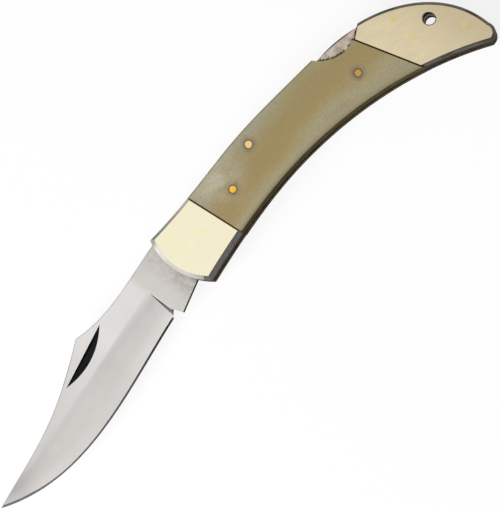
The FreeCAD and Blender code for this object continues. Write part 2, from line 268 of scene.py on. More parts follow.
class NodeTree:
    """Small builder for the nodes of a shader tree."""

    def __init__(self, tree: bpy.types.NodeTree) -> None:
        """Empties a tree and keeps it to build in."""
        self.tree = tree
        self.tree.nodes.clear()

    def feed(self, socket: Socket, value: object) -> None:
        """Links a socket to another socket, or sets its own value.

        Args:
            socket: The input to feed.
            value: An output socket, a number, a colour or a vector.
        """
        if isinstance(value, bpy.types.NodeSocket):
            self.tree.links.new(value, socket)
        elif isinstance(value, tuple) and socket.type == "RGBA":
            socket.default_value = (*value, 1.0)
        else:
            socket.default_value = value

    def remap(self, value: Socket, step: Step) -> Socket:
        """Takes a smooth step of a value.

        Args:
            value: The value.
            step: The step.

        Returns:
            The step's result.
        """
        node = self.tree.nodes.new("ShaderNodeMapRange")
        node.interpolation_type = "SMOOTHSTEP"
        self.feed(node.inputs["Value"], value)
        node.inputs["From Min"].default_value = step.low
        node.inputs["From Max"].default_value = step.high
        node.inputs["To Min"].default_value = step.start
        node.inputs["To Max"].default_value = step.end
        return node.outputs["Result"]

    def sum(self, kind: Sum, first: object, second: object) -> Socket:
        """Does one step of arithmetic.

        Args:
            kind: The kind of arithmetic.
            first: First value or socket.
            second: Second value or socket.

        Returns:
            The result.
        """
        node = self.tree.nodes.new("ShaderNodeMath")
        node.operation = kind.value
        self.feed(node.inputs[0], first)
        self.feed(node.inputs[1], second)
        return node.outputs["Value"]

    def plus(self, first: object, second: object) -> Socket:
        """Adds two values."""
        return self.sum(Sum.ADD, first, second)

    def minus(self, first: object, second: object) -> Socket:
        """Takes the second value from the first."""
        return self.sum(Sum.SUBTRACT, first, second)

    def times(self, first: object, second: object) -> Socket:
        """Multiplies two values."""
        return self.sum(Sum.MULTIPLY, first, second)

    def dot(self, vector: Socket, direction: Point | Vector) -> Socket:
        """Measures how far a vector goes along a direction.

        Args:
            vector: The vector.
            direction: The direction.

        Returns:
            The length along the direction.
        """
        node = self.tree.nodes.new("ShaderNodeVectorMath")
        node.operation = "DOT_PRODUCT"
        self.feed(node.inputs[0], vector)
        node.inputs[1].default_value = direction
        return node.outputs["Value"]

    def seen(self) -> Socket:
        """Tells rays that show a surface straight, mirrored or through glass from those that only light.

        Returns:
            1 for a ray that shows the surface, 0 for the rest.
        """
        path = self.tree.nodes.new("ShaderNodeLightPath").outputs
        shown = self.sum(Sum.MAXIMUM, path["Is Camera Ray"], path["Is Glossy Ray"])
        return self.sum(Sum.MAXIMUM, shown, path["Is Transmission Ray"])


class Finish(NodeTree):
    """Builder for one material around a principled shader."""

    def __init__(self, name: str) -> None:
        """Starts a material.

        Args:
            name: The material's name.
        """
        self.material = bpy.data.materials.new(name)
        self.material.use_nodes = True
        super().__init__(self.material.node_tree)
        self.shader = self.tree.nodes.new("ShaderNodeBsdfPrincipled")
        output = self.tree.nodes.new("ShaderNodeOutputMaterial")
        self.tree.links.new(self.shader.outputs["BSDF"], output.inputs["Surface"])
        self.place = self.tree.nodes.new("ShaderNodeTexCoord").outputs["Object"]

    def noise(self, pattern: Pattern) -> Socket:
        """Lays a cloudy pattern on object coordinates.

        Args:
            pattern: The pattern.

        Returns:
            The pattern's value, from 0 to 1.
        """
        turned = self.tree.nodes.new("ShaderNodeMapping")
        turned.vector_type = "TEXTURE"
        turned.inputs["Rotation"].default_value = (0.0, 0.0, math.radians(pattern.turn_deg))
        turned.inputs["Scale"].default_value = tuple(1.0 / finer for finer in pattern.squeeze)
        self.feed(turned.inputs["Vector"], self.place)
        clouds = self.tree.nodes.new("ShaderNodeTexNoise")
        self.feed(clouds.inputs["Vector"], turned.outputs["Vector"])
        clouds.inputs["Scale"].default_value = pattern.scale
        clouds.inputs["Detail"].default_value = pattern.detail
        clouds.inputs["Roughness"].default_value = pattern.rough
        return clouds.outputs["Fac"]

    def waver(self, pattern: Socket, middle: float, reach: float) -> Socket:
        """Lets a value waver with a pattern, as far above its middle as below."""
        return self.remap(pattern, Step(PATTERN_LOW, PATTERN_HIGH, middle - reach, middle + reach))

    def mix(self, factor: object, base: object, over: object, blend: Blend = Blend.MIX) -> Socket:
        """Lays one colour over another.

        Args:
            factor: Strength of the upper colour.
            base: Lower colour.
            over: Upper colour.
            blend: How the colours combine.

        Returns:
            The mixed colour.
        """
        node = self.tree.nodes.new("ShaderNodeMix")
        node.data_type = "RGBA"
        node.blend_type = blend.value
        colours = [socket for socket in node.inputs if socket.type == "RGBA"]
        self.feed(node.inputs["Factor"], factor)
        self.feed(colours[0], base)
        self.feed(colours[1], over)
        return next(socket for socket in node.outputs if socket.type == "RGBA")

    def lay(self, base: object, over: object, value: Socket, step: Step) -> Socket:
        """Lays one colour over another by the step of a value."""
        return self.mix(self.remap(value, step), base, over)

    def ramp(self, value: Socket, stops: tuple[tuple[float, Colour], ...]) -> Socket:
        """Grades colours along a value.

        Args:
            value: Value from 0 to 1.
            stops: Places along the value and their colours.

        Returns:
            The graded colour.
        """
        node = self.tree.nodes.new("ShaderNodeValToRGB")
        node.color_ramp.interpolation = "B_SPLINE"
        marks = node.color_ramp.elements
        while len(marks) < len(stops):
            marks.new(1.0)
        for mark, (place, colour) in zip(marks, stops):
            mark.position = place
            mark.color = (*colour, 1.0)
        self.feed(node.inputs["Fac"], value)
        return node.outputs["Color"]

    def height_curve(self, stations: list[tuple[float, float]]) -> Socket:
        """Follows a curve of heights in Y along X.

        Args:
            stations: X and Y of points on the curve, in metres, from the lowest X up.

        Returns:
            The curve's Y in metres at each place's X.
        """
        start, end = stations[0][0], stations[-1][0]
        low = min(y for _, y in stations)
        high = max(y for _, y in stations)
        node = self.tree.nodes.new("ShaderNodeFloatCurve")
        line = node.mapping.curves[0]
        shares = [((x - start) / (end - start), (y - low) / (high - low)) for x, y in stations]
        line.points[0].location = shares[0]
        line.points[1].location = shares[-1]
        for share in shares[1:-1]:
            line.points.new(*share)
        node.mapping.update()
        run = self.sum(Sum.DIVIDE, self.minus(self.along(Axis.X), start), end - start)
        self.feed(node.inputs["Value"], run)
        return self.plus(self.times(node.outputs["Value"], high - low), low)

    def along(self, axis: Axis) -> Socket:
        """Reads one object coordinate.

        Args:
            axis: The axis to read.

        Returns:
            The coordinate in metres.
        """
        node = self.tree.nodes.new("ShaderNodeSeparateXYZ")
        self.feed(node.inputs[0], self.place)
        return node.outputs[axis.value]

    def plan_distance(self, spot: Vector) -> Socket:
        """Measures the distance from a spot, seen along Z.

        Args:
            spot: The spot in metres.

        Returns:
            The distance in metres.
        """
        apart = self.tree.nodes.new("ShaderNodeVectorMath")
        apart.operation = "SUBTRACT"
        self.feed(apart.inputs[0], self.place)
        apart.inputs[1].default_value = spot
        plan = self.tree.nodes.new("ShaderNodeVectorMath")
        plan.operation = "MULTIPLY"
        self.feed(plan.inputs[0], apart.outputs["Vector"])
        plan.inputs[1].default_value = (1.0, 1.0, 0.0)
        length = self.tree.nodes.new("ShaderNodeVectorMath")
        length.operation = "LENGTH"
        self.feed(length.inputs[0], plan.outputs["Vector"])
        return length.outputs["Value"]

    def cross_share(self) -> Socket:
        """Measures how far a place lies across the handle, from 0 at the back to 1 at the slot side.

        Returns:
            The share.
        """
        outline = Outline()
        back = self.height_curve(outline.back())
        slot = self.height_curve(outline.slot())
        down = self.minus(back, self.along(Axis.Y))
        return self.sum(Sum.DIVIDE, down, self.minus(back, slot))

    def past_line(self, line: PlanLine) -> Socket:
        """Measures how far a place lies past a line of the plan, in metres."""
        offset = Vector(line.spot).dot(line.across())
        return self.minus(self.dot(self.place, line.across()), offset)

    def dim_grazing(self, share: float) -> None:
        """Dims what metal mirrors at a grazing view to a share."""
        self.shader.inputs["Specular Tint"].default_value = (share, share, share, 1.0)

    def finish(self, colour: object, rough: object, metallic: float) -> bpy.types.Material:
        """Sets the shader's main values.

        Args:
            colour: Base colour or its socket.
            rough: Roughness or its socket.
            metallic: 1 for metal, 0 for the rest.

        Returns:
            The material.
        """
        self.feed(self.shader.inputs["Base Color"], colour)
        self.feed(self.shader.inputs["Roughness"], rough)
        self.shader.inputs["Metallic"].default_value = metallic
        return self.material


@dataclass(frozen=True)
class SatinSteel:
    """Blade steel, brightest along the spine, duller in the grind, darker towards the tip as a painted
    reflection, with painted shade under the grind line and painted shade mottled with stain beside the
    bolsters.
    """

    spine: Colour = (0.735, 0.715, 0.70)
    # Painted reflection: the flat's darker tone towards the tip
    far: Colour = (0.635, 0.617, 0.602)
    ricasso: Colour = (0.63, 0.603, 0.57)
    ground: Colour = (0.665, 0.638, 0.615)
    ground_near_painted_lift: Colour = (0.78, 0.752, 0.725)
    # Painted shade under the grind line
    shade: Colour = (0.86, 0.86, 0.865)
    worn: Colour = (0.92, 0.92, 0.92)
    # Painted shade of the bolster's nose, mottled with stain
    stain: Colour = (0.31, 0.27, 0.24)
    rough: float = 0.26
    rough_waver: float = 0.012
    lines: Pattern = Pattern(260.0, 3.0, turn_deg=4.0, squeeze=(1.0, 14.0, 14.0))
    clouds: Pattern = Pattern(70.0, 3.0)
    spots: Pattern = Pattern(480.0, 3.0, 0.6)
    grind_line: PlanLine = PlanLine((-35.0 * MM, 3.2 * MM, 0.0), 92.3)
    painted_reflection_off_tip: Step = Step(-75.0 * MM, -45.0 * MM)
    onto_ricasso: Step = Step(-28.0 * MM, -24.0 * MM)
    under_grind_line: Step = Step(-0.55 * MM, 0.55 * MM, 1.0, 0.0)
    before_plunge: Step = Step(-26.4 * MM, -25.9 * MM, 1.0, 0.0)
    near_plunge: Step = Step(-62.0 * MM, -30.0 * MM)
    shade_rise: Step = Step(-1.8 * MM, 1.4 * MM)
    shade_along: Step = Step(-62.0 * MM, -45.0 * MM, 0.5, 1.0)
    wear: Step = Step(0.35, 0.7, 0.0, 0.6)
    bolster_shade_and_stain_low: Step = Step(-9.0 * MM, 4.0 * MM, 1.0, 0.55)
    stain_spots: Step = Step(0.32, 0.66, 0.25, 0.9)
    bolster_shade_and_stain_along: Step = Step(-23.0 * MM, -14.0 * MM)

    def material(self) -> bpy.types.Material:
        """Makes the finish.

        Returns:
            The material.
        """
        finish = Finish("satin_steel")
        x = finish.along(Axis.X)
        y = finish.along(Axis.Y)
        # Painted reflection: the flat darkens towards the tip, as if it mirrored a darker part of the
        # studio.
        tone = finish.lay(self.far, self.spine, x, self.painted_reflection_off_tip)
        # The ricasso by the bolster is warmer and darker: painted shade of the bolster's nose.
        tone = finish.lay(tone, self.ricasso, x, self.onto_ricasso)
        # The grind darkens towards the tip in the same painted reflection; by the plunge it is painted
        # brighter, lifting the hollow's shade.
        ground = finish.lay(self.ground, self.ground_near_painted_lift, x, self.near_plunge)
        # Painted shade just under the grind line, strongest near the line and towards the plunge.
        shaded = finish.times(finish.remap(y, self.shade_rise), finish.remap(x, self.shade_along))
        ground = finish.mix(shaded, ground, self.shade, Blend.MULTIPLY)
        grind = finish.remap(finish.past_line(self.grind_line), self.under_grind_line)
        grind = finish.times(grind, finish.remap(x, self.before_plunge))
        tone = finish.mix(grind, tone, ground)
        worn = finish.remap(finish.noise(self.clouds), self.wear)
        tone = finish.mix(worn, tone, self.worn, Blend.MULTIPLY)
        # Painted shade of the bolster's nose, mottled with stain: darker beside the bolster and towards
        # the edge.
        stained = finish.times(finish.remap(y, self.bolster_shade_and_stain_low), finish.remap(x, self.bolster_shade_and_stain_along))
        stained = finish.times(stained, finish.remap(finish.noise(self.spots), self.stain_spots))
        tone = finish.mix(stained, tone, self.stain)
        rough = finish.waver(finish.noise(self.lines), self.rough, self.rough_waver)
        return finish.finish(tone, rough, 1.0)


@dataclass(frozen=True)
class RubbedMetal:
    """Metal of a bevel, a wall or a cut, with lines rubbed along it."""

    name: str
    colour: Colour
    streak: Colour
    rough: float
    lines: Pattern = RUBBED
    grazing: float = 0.1
    rough_waver: float = 0.05
    streaks: Step = Step(0.4, 0.72)

    def material(self) -> bpy.types.Material:
        """Makes the finish.

        Returns:
            The material.
        """
        finish = Finish(self.name)
        finish.dim_grazing(self.grazing)
        lines = finish.noise(self.lines)
        rough = finish.waver(lines, self.rough, self.rough_waver)
        return finish.finish(self.tone(finish, lines), rough, 1.0)

    def tone(self, finish: Finish, lines: Socket) -> Socket:
        """Mixes the colour of the rubbed lines."""
        return finish.lay(self.colour, self.streak, lines, self.streaks)


@dataclass(frozen=True)
class BrightWall(RubbedMetal):
    """Rubbed metal in painted shade before a line of the plan, and painted lighter past it."""

    bright: Colour = (0.62, 0.58, 0.48)
    bright_streak: Colour = (0.50, 0.46, 0.375)
    line: PlanLine = PlanLine((82.0 * MM, -15.0 * MM, 0.0), 50.0)
    brighten: Step = Step(0.5 * MM, 5.0 * MM)
    dim: Colour | None = None
    dimming: Step = Step(12.8 * MM, 20.8 * MM)

    def tone(self, finish: Finish, lines: Socket) -> Socket:
        """Mixes the colour of the rubbed lines, painted lighter past the line, and dimmed well beyond it
        by painted shade where asked.

        Args:
            finish: The material's builder.
            lines: The pattern of lines.

        Returns:
            The colour.
        """
        bright_tone = finish.lay(self.bright, self.bright_streak, lines, self.streaks)
        past = finish.past_line(self.line)
        if self.dim:
            bright_tone = finish.lay(bright_tone, self.dim, past, self.dimming)
        return finish.lay(super().tone(finish, lines), bright_tone, past, self.brighten)


@dataclass(frozen=True)
class BolsterMetal:
    """Pale polished bolster metal, warmer and duller towards the butt, with dark lines at its seams."""

    front: Colour = (0.88, 0.82, 0.595)
    rear: Colour = (0.77, 0.66, 0.43)
    butt: Colour = (0.61, 0.51, 0.32)
    dull: Colour = (0.60, 0.53, 0.385)
    tarnish: Colour = (0.42, 0.34, 0.24)
    grime: Colour = (0.05, 0.036, 0.02)
    rough: float = 0.24
    lines: Pattern = Pattern(110.0, 3.0, 0.55, -32.0, (1.0, 24.0, 24.0))
    clouds: Pattern = Pattern(130.0, 4.0, 0.6, -32.0, (1.0, 1.8, 1.8))
    patches: Pattern = Pattern(90.0, 2.0)
    to_rear: Step = Step(10.0 * MM, 84.0 * MM)
    to_butt: Step = Step(84.0 * MM, 108.0 * MM)
    rubbed: Step = Step(0.5, 0.75, 0.0, 0.4)
    patched: Step = Step(0.45, 0.65)
    clouded: Step = Step(0.3, 0.8, 0.0, 0.5)
    lip: Step = Step(0.2 * MM, 0.5 * MM, 1.0, 0.0)
    seam: Step = Step(0.08 * MM, 0.22 * MM, 1.0, 0.0)
    rough_lines: Step = Step(0.3, 0.72, -0.015, 0.02)

    def material(self) -> bpy.types.Material:
        """Makes the finish.

        Returns:
            The material.
        """
        finish = Finish("bolster_metal")
        lines = finish.noise(self.lines)
        x = finish.along(Axis.X)
        along = finish.remap(x, self.to_rear)
        tone = finish.mix(along, self.front, self.rear)
        tone = finish.lay(tone, self.butt, x, self.to_butt)
        rubbed = finish.times(along, finish.remap(lines, self.rubbed))
        rubbed = finish.times(rubbed, finish.remap(finish.noise(self.patches), self.patched))
        tone = finish.mix(rubbed, tone, self.tarnish)
        clouded = finish.times(along, finish.remap(finish.noise(self.clouds), self.clouded))
        tone = finish.mix(clouded, tone, self.dull)
        # Dark line along the rear bolster's end at the thumb notch, in the colour of the seams.
        lip = finish.times(along, finish.remap(finish.past_line(NOTCH_LIP), self.lip))
        tone = finish.mix(lip, tone, self.grime)
        for seam in (FRONT_SEAM, REAR_SEAM):
            apart = finish.sum(Sum.ABSOLUTE, finish.past_line(seam), 0.0)
            tone = finish.lay(tone, self.grime, apart, self.seam)
        rough = finish.times(along, finish.remap(lines, self.rough_lines))
        return finish.finish(tone, finish.plus(rough, self.rough), 1.0)


@dataclass(frozen=True)
class Horn:
    """Polished olive-tan horn, warm along its middle, darkening into painted shade at its slot rim, with
    grime at the seams and round the pins.
    """

    # Colours across the handle, from the back at 0 to the slot side at 1; from 0.9 on they darken into
    # painted shade where the horn rounds over at the slot.
    across: tuple[tuple[float, Colour], ...] = (
        (0.0, (0.35, 0.33, 0.225)),
        (0.12, (0.34, 0.295, 0.155)),
        (0.3, (0.32, 0.245, 0.085)),
        (0.6, (0.34, 0.242, 0.078)),
        (0.78, (0.37, 0.31, 0.148)),
        (0.9, (0.38, 0.34, 0.2)),
        (0.97, (0.27, 0.225, 0.12)),
        (1.0, (0.035, 0.022, 0.008)),
    )
    olive: Colour = (0.29, 0.25, 0.10)
    pale: Colour = (0.51, 0.46, 0.335)
    smudge: Colour = (0.185, 0.14, 0.10)
    grime: Colour = (0.022, 0.014, 0.006)
    flow: Pattern = Pattern(38.0, 4.0, 0.55, -15.0, (1.0, 2.6, 2.6))
    streaks: Pattern = Pattern(70.0, 4.0, 0.6, -15.0, (1.0, 7.0, 7.0))
    bloom: Pattern = Pattern(150.0, 5.0, 0.7, -15.0, (1.0, 1.8, 1.8))
    specks: Pattern = Pattern(1600.0, 3.0, 0.65)
    blotches: Pattern = Pattern(420.0, 3.0)
    flow_waver: float = 0.07
    drift: Step = Step(15.0 * MM, 65.0 * MM, -0.11, 0.1)
    off_rim: Step = Step(0.8, 0.95, 1.0, 0.0)
    streaked: Step = Step(0.52, 0.8, 0.0, 0.35)
    pale_spot: Point = (16.5 * MM, 8.0 * MM, 0.0)
    pale_reach: Step = Step(0.0, 14.5 * MM, 1.0, 0.0)
    bloomed: Step = Step(0.3, 0.66, 0.15, 1.0)
    specked: Step = Step(0.38, 0.68, 0.0, 0.3)
    blotched: Step = Step(0.35, 0.65, 0.45, 1.0)
    pin_halo: Step = Step(1.3 * MM, 3.4 * MM, 0.85, 0.0)
    pin_ring: Step = Step(1.3 * MM, 1.8 * MM, 0.55, 0.0)
    seam: Step = Step(0.294 * MM, 0.546 * MM, 1.0, 0.0)
    seam_rough: Step = Step(0.0, 1.0, 0.22, 1.0)

    def pins(self) -> tuple[Vector, ...]:
        """Lists the middles of the pins that come up through the horn."""
        return tuple(node_centre(node) for node in ScalePins.nodes(Side.LEFT))

    def material(self) -> bpy.types.Material:
        """Makes the finish.

        Returns:
            The material.
        """
        finish = Finish("polished_horn")
        tone = finish.ramp(self.drawn_share(finish), self.across)
        tone = finish.lay(tone, self.olive, finish.noise(self.streaks), self.streaked)
        spot = finish.remap(finish.plan_distance(Vector(self.pale_spot)), self.pale_reach)
        bleached = finish.times(spot, finish.remap(finish.noise(self.bloom), self.bloomed))
        tone = finish.mix(bleached, tone, self.pale)
        tone = finish.lay(tone, self.smudge, finish.noise(self.specks), self.specked)
        blotches = finish.remap(finish.noise(self.blotches), self.blotched)
        for pin in self.pins():
            reach = finish.plan_distance(pin)
            halo = finish.times(finish.remap(reach, self.pin_halo), blotches)
            tone = finish.mix(halo, tone, self.smudge)
            tone = finish.lay(tone, self.grime, reach, self.pin_ring)
        dull = 0.0
        for seam, inwards in ((FRONT_SEAM, 1.0), (REAR_SEAM, -1.0)):
            line = finish.remap(finish.times(finish.past_line(seam), inwards), self.seam)
            tone = finish.mix(line, tone, self.grime)
            dull = finish.sum(Sum.MAXIMUM, dull, line)
        return finish.finish(tone, finish.remap(dull, self.seam_rough), 0.0)

    def drawn_share(self, finish: Finish) -> Socket:
        """Measures the share across the handle, drawn about by the horn's flow away from the slot's rim.

        Args:
            finish: The material's builder.

        Returns:
            The share.
        """
        share = finish.cross_share()
        wander = finish.waver(finish.noise(self.flow), 0.0, self.flow_waver)
        wander = finish.plus(wander, finish.remap(finish.along(Axis.X), self.drift))
        return finish.plus(share, finish.times(wander, finish.remap(share, self.off_rim)))


@dataclass(frozen=True)
class HornSide:
    """Horn along one side of the handle, with its grain."""

    name: str
    colour: Colour
    shade: Colour
    rough: float
    gleam: float = 0.15
    grain: Pattern = Pattern(200.0, 4.0, 0.6, -14.0, (1.0, 8.0, 8.0))
    grained: Step = Step(0.35, 0.68)

    def material(self) -> bpy.types.Material:
        """Makes the finish.

        Returns:
            The material.
        """
        finish = Finish(self.name)
        tone = finish.lay(self.colour, self.shade, finish.noise(self.grain), self.grained)
        finish.shader.inputs["Specular IOR Level"].default_value = self.gleam
        return finish.finish(tone, self.rough, 0.0)


@dataclass(frozen=True)
class PinBrass:
    """Brass of one pin's end, fading to another tone at its rim."""

    node: str
    colour: Colour
    rim: Colour
    rough: float
    to_rim: Step
    rough_waver: float = 0.05
    grain: Pattern = Pattern(1700.0, 3.0)
    rim_waver: float = 0.1 * MM

    def material(self) -> bpy.types.Material:
        """Makes the finish.

        Returns:
            The material.
        """
        finish = Finish(self.node + "_brass")
        grain = finish.noise(self.grain)
        reach = finish.plan_distance(node_centre(self.node))
        reach = finish.plus(reach, finish.waver(grain, 0.0, self.rim_waver))
        tone = finish.lay(self.colour, self.rim, reach, self.to_rim)
        return finish.finish(tone, finish.waver(grain, self.rough, self.rough_waver), 1.0)


@dataclass(frozen=True)
class LockSteel:
    """Steel of the lock bar, mottled by handling, with painted shadow and grime where it meets the thumb
    notch.
    """

    colour: Colour = (0.67, 0.575, 0.50)
    stain: Colour = (0.47, 0.375, 0.29)
    grime: Colour = (0.05, 0.035, 0.025)
    rough: float = 0.36
    rough_waver: float = 0.06
    clouds: Pattern = Pattern(300.0, 4.0, 0.65)
    ragged: Pattern = Pattern(900.0, 3.0, 0.6)
    ragged_reach: float = 0.5 * MM
    notch_centre: Point = (76.88 * MM, 8.95 * MM, 0.0)
    notch_radius: float = 12.78 * MM
    stained: Step = Step(0.4, 0.66, 0.0, 0.85)
    notch_shadow_and_grime: Step = Step(0.95 * MM, 1.5 * MM, 1.0, 0.0)
    back_grime: Step = Step(0.25 * MM, 0.6 * MM, 0.9, 0.0)

    def material(self) -> bpy.types.Material:
        """Makes the finish.

        Returns:
            The material.
        """
        finish = Finish("lock_steel")
        clouds = finish.noise(self.clouds)
        tone = finish.lay(self.colour, self.stain, clouds, self.stained)
        # Painted shadow of the notch's rim on the bar, with a ragged edge of grime.
        inside = finish.minus(self.notch_radius, finish.plan_distance(Vector(self.notch_centre)))
        inside = finish.plus(inside, finish.waver(finish.noise(self.ragged), 0.0, self.ragged_reach))
        tone = finish.lay(tone, self.grime, inside, self.notch_shadow_and_grime)
        down = finish.minus(finish.height_curve(Outline().back()), finish.along(Axis.Y))
        tone = finish.lay(tone, self.grime, down, self.back_grime)
        return finish.finish(tone, finish.waver(clouds, self.rough, self.rough_waver), 1.0)


@dataclass(frozen=True)
class PlainMetal:
    """Metal of a piece seen edge-on or inside the slot, ground and stained, darkened by painted shade
    towards the slot side and brighter along the back.
    """

    name: str
    bright_tone: Colour
    colour: Colour
    stain: Colour
    rough: float
    rough_waver: float = 0.06
    grazing: float = 0.3
    lines: Pattern = Pattern(250.0, 3.0, turn_deg=-14.0, squeeze=(1.0, 10.0, 10.0))
    clouds: Pattern = Pattern(260.0, 4.0, 0.6)
    stained: Step = Step(0.4, 0.66, 0.0, 0.85)
    along_back: Step = Step(0.1, 0.35, 1.0, 0.0)

    def material(self) -> bpy.types.Material:
        """Makes the finish.

        Returns:
            The material.
        """
        finish = Finish(self.name)
        finish.dim_grazing(self.grazing)
        tone = finish.lay(self.colour, self.stain, finish.noise(self.clouds), self.stained)
        # Painted shade: darker towards the slot side, brighter along the back.
        tone = finish.lay(tone, self.bright_tone, finish.cross_share(), self.along_back)
        rough = finish.waver(finish.noise(self.lines), self.rough, self.rough_waver)
        return finish.finish(tone, rough, 1.0)


class DressedNode:
    """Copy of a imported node's mesh, eased at its rims and evenly shaded."""

    merge_gap = 0.002 * MM

    def __init__(self, node: str) -> None:
        """Takes a merged copy of a node's mesh.

        Args:
            node: The node's name.
        """
        self.node = node
        self.shape = bmesh.new()
        self.shape.from_mesh(frame["nodes"][node].data)
        bmesh.ops.remove_doubles(self.shape, verts=self.shape.verts, dist=self.merge_gap)
        bmesh.ops.recalc_face_normals(self.shape, faces=self.shape.faces)
        for face in self.shape.faces:
            face.material_index = 0

    def join_flats(self, limit_deg: float = 0.3) -> None:
        """Joins triangles that lie in one plane into single faces.

        Args:
            limit_deg: Greatest angle between joined triangles.
        """
        bmesh.ops.dissolve_limit(
            self.shape, angle_limit=math.radians(limit_deg), verts=self.shape.verts, edges=self.shape.edges
        )

    def rims(self, turns_deg: tuple[float, float], wanted: Callable[[Vector], bool]) -> Edges:
        """Finds edges whose faces meet at an angle within a range.

        Args:
            turns_deg: Least and greatest angle between the faces' normals.
            wanted: Whether an edge with this middle point counts.

        Returns:
            The edges.
        """
        least, greatest = turns_deg
        found = []
        for edge in self.shape.edges:
            turn = math.degrees(edge.calc_face_angle(0.0))
            middle = (edge.verts[0].co + edge.verts[1].co) / 2
            if least <= turn <= greatest and wanted(middle):
                found.append(edge)
        return found

    def ease(self, edges: Edges, width: float, segments: int = 3, limit: bool = False) -> None:
        """Rounds edges off.

        Args:
            edges: The edges.
            width: Width of the rounding on each face, in metres.
            segments: Faces across the rounding.
            limit: Whether the shortest edge nearby limits the width.
        """
        bmesh.ops.bevel(
            self.shape, geom=edges, offset=width, offset_type="OFFSET", segments=segments,
            profile=0.5, affect="EDGES", clamp_overlap=limit, material=-1,
        )
        bmesh.ops.remove_doubles(self.shape, verts=self.shape.verts, dist=self.merge_gap)
        bmesh.ops.dissolve_degenerate(self.shape, edges=self.shape.edges, dist=self.merge_gap)

    def mark(self, finishes: Finishes, rules: dict[Zone, FaceTest]) -> None:
        """Gives the faces of each zone their own finish.

        Args:
            finishes: The finish of each zone that the piece has, its top first.
            rules: Whether a face belongs to a zone, where a later rule goes over an earlier one.
        """
        zones = list(finishes)
        for zone, belongs in rules.items():
            for face in self.shape.faces:
                if zone in finishes and belongs(face):
                    face.material_index = zones.index(zone)

    def place(
        self, slot: str, finishes: Finishes, sharp_deg: float = 40.0, even: bool = True
    ) -> bpy.types.Object:
        """Puts the copy in the scene in place of its node.

        Args:
            slot: The record's material slot; not used.
            finishes: The finish of each zone, the main one first.
            sharp_deg: Angle above which an edge stays sharp.
            even: Whether large faces are shaded flat up to their rims.

        Returns:
            The new piece, which rides on nothing yet.
        """
        for face in self.shape.faces:
            face.smooth = True
        for edge in self.shape.edges:
            turn = math.degrees(edge.calc_face_angle(math.pi))
            edge.smooth = turn < sharp_deg and len({face.material_index for face in edge.link_faces}) == 1
        mesh = bpy.data.meshes.new(self.node + "_dressed")
        self.shape.to_mesh(mesh)
        self.shape.free()
        for material in finishes.values():
            mesh.materials.append(material)
        piece = put_in_scene(mesh.name, mesh)
        if even:
            shading = piece.modifiers.new("even_shading", "WEIGHTED_NORMAL")
            shading.keep_sharp = True
        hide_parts(self.node)
        log.info("dressed %s with %s, %d faces", self.node, mesh.materials[0].name, len(mesh.polygons))
        return piece


def dress(node: str, material: bpy.types.Material) -> None:
    """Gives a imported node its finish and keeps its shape.

    Args:
        node: The node's name.
        material: The finish.
    """
    slots = frame["nodes"][node].data.materials
    slots.clear()
    slots.append(material)
    log.info("kept %s with %s", node, material.name)


